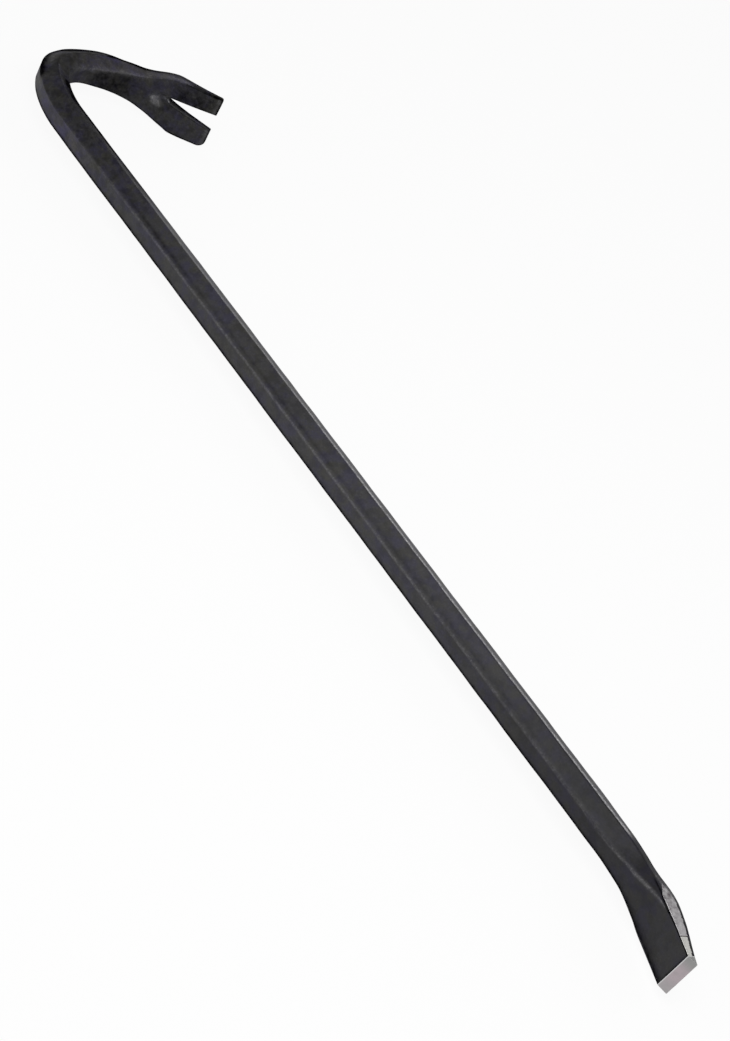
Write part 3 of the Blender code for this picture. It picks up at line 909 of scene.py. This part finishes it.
def palm():
    wall_places = steps(tine_length, root_centre, claw_step)
    wall_places += [root_centre + (i + 1) / root_parts for i in range(root_parts)]
    solid_places = steps(behind_slot, palm_end, claw_step)[1:]
    sheets = []
    for sign in (1, -1):
        rows = [claw_half(slot_station(a, sign), sign) for a in wall_places]
        rows += [claw_half(solid_station(t, sign), sign) for t in solid_places]
        sheets.append(rows)
        sheets.append([slot_wall(a, sign) for a in wall_places])
    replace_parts(skin("claw_palm_skin", sheets, black_paint), "claw_palm")


palm()


# The two tines are drawn out thin from the slit palm and cut off square, the lower one a little longer and
# with a blunter corner. Their inner edges are the slot's walls.
tip_angles = 14


def tine(node, sign):
    blunt = max(tip_corner.values())
    end = -tine_excess[sign]
    places = [end + blunt * (1 - math.cos(i / tip_angles * 90 * DEG)) for i in range(tip_angles)]
    places += steps(end + blunt, tine_length, claw_step)
    sheets = [
        [claw_half(slot_station(a, sign), sign) for a in places],
        [slot_wall(a, sign) for a in places],
    ]
    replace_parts(skin(node + "_skin", sheets, black_paint), node)


tine("claw_tine_upper", 1)
tine("claw_tine_lower", -1)


# The chisel's shoulder is the offset bend, where the hot stock is drawn down and spread under the hammer.
# Its corners run on as ridges, and the paint on its sides ends near the blade.
chisel_lead = 14.7 * MM
chisel_radius, chisel_turn = 117.8 * MM, 26.4 * DEG
chisel_run = 18.0 * MM
shank_to_waist = 33.7 * MM
waist_to_blade = 24.0 * MM
shoulder_length = 49.0 * MM
waist_back, waist_front, waist_reach, waist_bevel = 6.15 * MM, 7.4 * MM, 9.95 * MM, 3.4 * MM
blade_back, blade_front, blade_upper, blade_lower = 4.6 * MM, 3.6 * MM, 12.9 * MM, 13.2 * MM
blade_bevel, blade_side_flat = 1.5 * MM, 6.6 * MM
edge_back, edge_front, edge_upper, edge_lower = 1.8 * MM, 1.5 * MM, 13.3 * MM, 12.3 * MM
edge_bevel, edge_thickness, edge_break = 0.5 * MM, 0.4 * MM, 0.1 * MM
bevel_length = 4.2 * MM
chisel_step = 0.7 * MM
knock_place, knock_length, knock_depth = 484.5 * MM, 5.5 * MM, 0.64
knock_around, knock_width = 1.85, 0.5
bare_start, bare_slant, bare_fade = 41.2 * MM, 1.8, 1.2 * MM
patch_around, patch_width = 3.05, 0.14
painted_back, back_fade = 0.5 * MM, 1.6 * MM
# Painted shade along the bare steel's edges, along the blade's lower corner and at the paint's edge above
# the bit.
blade_edge_shade = curve((518, 0.0), (532, 0.9), (560, 0.9))
patch_edge_shade = curve((508, 0.0), (514, 0.9), (560, 0.9))
blade_lower_shade = curve((400, 0.16), (480, 0.25), (560, 0.3))
paint_edge = 0.7 * MM
ridge_dip, ridge_rise = 0.9 * MM, 0.45 * MM

chisel_runs = [(chisel_lead, 0.0), (chisel_radius * chisel_turn, -chisel_turn), (chisel_run, 0.0)]
chisel = Spine(shank_start + Vector((shank_length, 0.0, 0.0)), 0.0, chisel_runs)


def chisel_section():
    stock = hexagon()
    waist = faces(waist_back, waist_front, waist_reach, waist_bevel, waist_bevel, stock[-1])
    blade_faces = (blade_back, blade_front, blade_upper, blade_lower)
    blade = (*blade_faces, blade_bevel, blade_bevel, blade_side_flat / 2, blade_side_flat / 2)
    edge_faces = (edge_back, edge_front, edge_upper, edge_lower)
    edge_rises = (edge_back - edge_bevel / 2, edge_front - edge_bevel / 2)
    edge = (*edge_faces, edge_bevel, edge_bevel, *edge_rises)
    places = [0.0, shank_to_waist, shank_to_waist + waist_to_blade, chisel.length]
    section = Section(places, [stock, waist, blade, edge])
    ridge = [(0.0, stock[5]), (shank_to_waist / 2, stock[5] + ridge_dip)]
    ridge.append((shank_to_waist, waist_bevel - ridge_rise))
    ridge += [(places[2], blade_bevel), (places[3], edge_bevel)]
    section.give("ridge_bevel", ridge)
    return section


drawn = chisel_section()
blade_end = chisel.length - bevel_length


def chisel_marks(distance, out, around, sign):
    """The marks on the chisel: a knock on the rim, and wide sides that are bare from a slanting line on.

    Painted shade darkens the paint along the bare steel's edges, and the sides keep a painted strip at
    their backs.
    """
    place = shank_length + distance
    rubbed, thick, hazed, bare = bar_marks(place, around, sign)
    # Painted shade at the paint's edge above the bit, along the lower corner and beside the bare steel.
    thick = max(thick, near(blade_end - distance, 0.0, paint_edge))
    if sign < 0:
        thick = max(thick, near(around, 4.0, blade_lower_shade(place)))
    else:
        thick = max(thick, patch_edge_shade(place) * near(around, patch_around, patch_width))
        if 3 < around < 4 + corner_half:
            thick = max(thick, blade_edge_shade(place))
    if 2 + corner_half <= around <= 3:
        from_start = bare_start + bare_slant * out - (chisel.length - distance)
        from_back = drawn.at(distance)["left_rise"] - painted_back - out
        bare = min(max(min(from_start / bare_fade, from_back / back_fade), 0.0), 1.0)
    if sign > 0:
        knocked = near(place, knock_place, knock_length) * near(around, knock_around, knock_width)
        bare = max(bare, knock_depth * knocked)
    return rubbed, thick, hazed, bare


steel_pale = (0.53, 0.52, 0.53, 1.0)
steel_stain = (0.15, 0.13, 0.142, 1.0)
steel_facet = (0.7, 0.7, 0.645, 1.0)
steel_nick = (0.06, 0.055, 0.055, 1.0)
facet_length, facet_strength = 13.6 * MM, 0.6
nick_width = 0.45 * MM
stain_size = 2.6 * MM
blotch_low, blotch_high, blotch_least = 16 * MM, 34 * MM, 0.4
ragged_size, ragged_reach = 1.3 * MM, 1.3
bare_lines = (0.5 * MM, (6.0, 6.0, 1.0))
bare_roughness, bare_line_roughness = 0.36, 0.14


def from_end_of_blade(finish):
    """Distance back from the cutting edge, measured along the straight of the blade."""
    point, heading = chisel.at(chisel.length)
    axis = Vector((math.cos(heading), math.sin(heading), 0.0))
    inputs = {0: finish.place(), 1: axis}
    along = finish.node("ShaderNodeVectorMath", {"operation": "DOT_PRODUCT"}, inputs, "Value")
    return axis.dot(point) - along


def streaked(finish, size, stretch):
    """Fine lines drawn out along an axis."""
    drawn_out = {"Vector": finish.place(), "Scale": stretch}
    vector = finish.node("ShaderNodeMapping", {"vector_type": "TEXTURE"}, drawn_out)
    return finish.noise(size, 2.0, 0.6, vector)


def part_painted():
    """The enamel, and the blotched steel under it where the dies have trimmed the sides bare."""
    finish = Enamel("paint_and_bare_steel")
    ragged = (finish.noise(ragged_size, 4.0, 0.7) - 0.5) * ragged_reach
    gone = finish.ramp(finish.mark("bare") + ragged, (0.46, 0.0), (0.54, 1.0))
    blotches = finish.patches(stain_size, 5.0, 0.7, (0.4, 0.0), (0.68, 1.0))
    from_edge = from_end_of_blade(finish)
    facet = from_edge < facet_length
    nick = (from_edge < facet_length + nick_width) * (from_edge > facet_length)
    limits = {"From Min": blotch_low, "From Max": blotch_high, "To Min": blotch_least}
    blotched = finish.node("ShaderNodeMapRange", {}, {"Value": from_edge, **limits})
    steel = finish.blend(blotches * blotched, steel_pale, steel_stain)
    steel = finish.blend(nick, finish.blend(facet * facet_strength, steel, steel_facet), steel_nick)
    lines = streaked(finish, *bare_lines)
    steel_roughness = bare_roughness + lines * bare_line_roughness
    finish.surface(
        Base_Color=finish.blend(gone, finish.colour, steel),
        Roughness=finish.roughness * (1 - gone) + steel_roughness * gone,
        Metallic=gone,
        Coat_Weight=finish.shine * (1 - gone),
    )
    return finish.material


worn_paint = part_painted()
bar_skin("chisel_shoulder", chisel, drawn, 0.0, shoulder_length, chisel_step, worn_paint, chisel_marks)


# The blade is drawn out flat, with wide sides that the dies have trimmed. Its front and back are painted,
# and its sides are bare, blotched steel.
bar_skin("chisel_blade", chisel, drawn, shoulder_length, blade_end, chisel_step, worn_paint, chisel_marks)


# The bit is ground to a single bevel on the blade's front after painting, so it is bright steel with fine
# lines along the edge, and its upper border carries a bright painted highlight.
ground_low = (0.38, 0.362, 0.368, 1.0)
ground_middle = (0.42, 0.362, 0.385, 1.0)
ground_high = (0.29, 0.29, 0.286, 1.0)
# Painted highlight along the bevel's upper border.
edge_highlight_colour = (0.6, 0.6, 0.6, 1.0)
edge_highlight_share = 0.05
ground_patch_size, ground_patch_strength = 3.4 * MM, 0.35
ground_lines = (0.35 * MM, (1.0, 1.0, 8.0))
ground_line_strength, ground_line_height = 0.6, 0.05 * MM
ground_roughness, ground_line_roughness = 0.34, 0.16
ground_gloss = 0.5
high_from, high_to = 0.3, 0.9
bit_parts = 6


def ground_steel():
    finish = Finish("ground_steel")
    blotches = finish.patches(ground_patch_size, 5.0, 0.65, (0.4, 0.0), (0.7, 1.0))
    level = shank_start.z
    lower = finish.part_of("Z", level - edge_lower, level)
    upper = finish.part_of("Z", level + edge_upper * high_from, level + edge_upper * high_to)
    steel = finish.blend(upper, finish.blend(lower, ground_low, ground_middle), ground_high)
    steel = finish.blend(blotches * ground_patch_strength, steel, ground_high)
    lines = streaked(finish, *ground_lines)
    relief = {"Strength": ground_line_strength, "Distance": ground_line_height, "Height": lines}
    # The bevel's upper border is lightened by a painted highlight.
    finish.surface(
        Base_Color=finish.blend(finish.mark("rubbed"), steel, edge_highlight_colour),
        Roughness=ground_roughness + lines * ground_line_roughness,
        Metallic=1.0,
        Normal=finish.node("ShaderNodeBump", {}, relief),
        Specular_IOR_Level=ground_gloss,
    )
    return finish.material


def bit():
    start, ground = drawn.at(blade_end), drawn.at(chisel.length)
    ground["right"] = edge_thickness - ground["left"]
    ground["left_rise"] = ground["left"] - edge_break
    ground["right_rise"] = ground["right"] - edge_break
    down = [0.0, edge_highlight_share, 2 * edge_highlight_share, *steps(3 * edge_highlight_share, 1.0, 1.0 / bit_parts)]
    sheets = []
    for sign in (1, -1):
        pairs = list(zip(half_outline(start, sign), half_outline(ground, sign)))
        rows = []
        for share in down:
            # Painted highlight on the first rows of the bevel.
            edge_highlight = 1.0 if share < 1.5 * edge_highlight_share else 0.0
            row = []
            for (out_a, up_a, _), (out_b, up_b, _) in pairs:
                out, up = out_a + (out_b - out_a) * share, up_a + (up_b - up_a) * share
                point = set_on(chisel, blade_end + bevel_length * share, out, sign * up)
                row.append((point, (edge_highlight, 0.0, 0.0, 1.0)))
            rows.append(row)
        sheets.append(rows)
    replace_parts(skin("chisel_bit_skin", sheets, ground_steel()), "chisel_bit")


bit()


# The studio is a white table under soft, even light, brighter round the sides than overhead. One soft box
# hangs over the bar's middle and a weak one stands behind the chisel.
white = (1.0, 1.0, 1.0, 1.0)
floor_colour = (0.86, 0.86, 0.86, 1.0)
floor_white = 0.92
floor_reach, floor_drop = 6.0, 0.2 * MM


def studio_floor():
    finish = Finish("table")
    rays = ("Is Camera Ray", "Is Glossy Ray", "Is Transmission Ray")
    direct, mirrored, through = (finish.node("ShaderNodeLightPath", output=ray) for ray in rays)
    seen = (direct + mirrored + through) > 0.5
    plain = finish.node("ShaderNodeBsdfDiffuse", inputs={"Color": floor_colour})
    glow = finish.node("ShaderNodeEmission", inputs={"Color": white, "Strength": 1.0})
    mixed = finish.node("ShaderNodeMixShader", inputs={0: seen * floor_white, 1: plain, 2: glow})
    finish.tree.links.new(mixed.socket, finish.tree.nodes["Material Output"].inputs["Surface"])
    mesh = bmesh.new()
    bmesh.ops.create_grid(mesh, x_segments=1, y_segments=1, size=floor_reach)
    data = bpy.data.meshes.new("table")
    mesh.to_mesh(data)
    mesh.free()
    data.materials.append(finish.material)
    floor = in_scene("table", data)
    floor.location = (0.0, 0.0, -floor_drop)


def sky():
    world = bpy.data.worlds.new("studio")
    bpy.context.scene.world = world
    finish = Finish("studio", world)
    direction = finish.node("ShaderNodeTexCoord", output="Generated")
    up = finish.node("ShaderNodeSeparateXYZ", inputs={"Vector": direction}, output="Z")
    level = finish.ramp(up, (0.0, 0.85), (0.45, 0.75), (0.85, 0.25), (1.0, 0.2))
    camera = finish.node("ShaderNodeLightPath", output="Is Camera Ray")
    background = finish.tree.nodes["Background"]
    finish.fill(background, {"Color": white, "Strength": level * (1 - camera) + camera})


def soft_box(name, place, target, size, power):
    light = bpy.data.lights.new(name, "AREA")
    light.shape = "RECTANGLE"
    light.size, light.size_y = size
    light.energy = power
    lamp = in_scene(name, light)
    lamp.location = place
    lamp.rotation_euler = (Vector(target) - Vector(place)).to_track_quat("-Z", "Y").to_euler()


studio_floor()
sky()
soft_box("over_middle", (0.12, -0.28, 0.62), target=(0.1, -0.03, 0.0), size=(0.4, 0.4), power=2.3)
soft_box("behind_chisel", (0.55, 0.9, 0.8), target=(0.2, 0.0, 0.0), size=(0.7, 0.5), power=2.0)


# The camera looks down on the bar from beyond its chisel end, rolled so that the bar crosses the picture.
# Its place, its angles and its lens come from the edges of the shank, the claw and the chisel in the photo.
camera_place = shank_start + Vector((645.0, -669.4, 630.1)) * MM
camera_angles = [angle * DEG for angle in (44.8083, -25.47065, 51.61275)]

lens = bpy.data.cameras.new("photo_view")
lens.sensor_width = 36.0
lens.lens = 69.74
view = in_scene("photo_view", lens)
view.matrix_world = Matrix.LocRotScale(camera_place, Euler(camera_angles), None)
bpy.context.scene.camera = view
bpy.context.scene.view_settings.view_transform = "Standard"
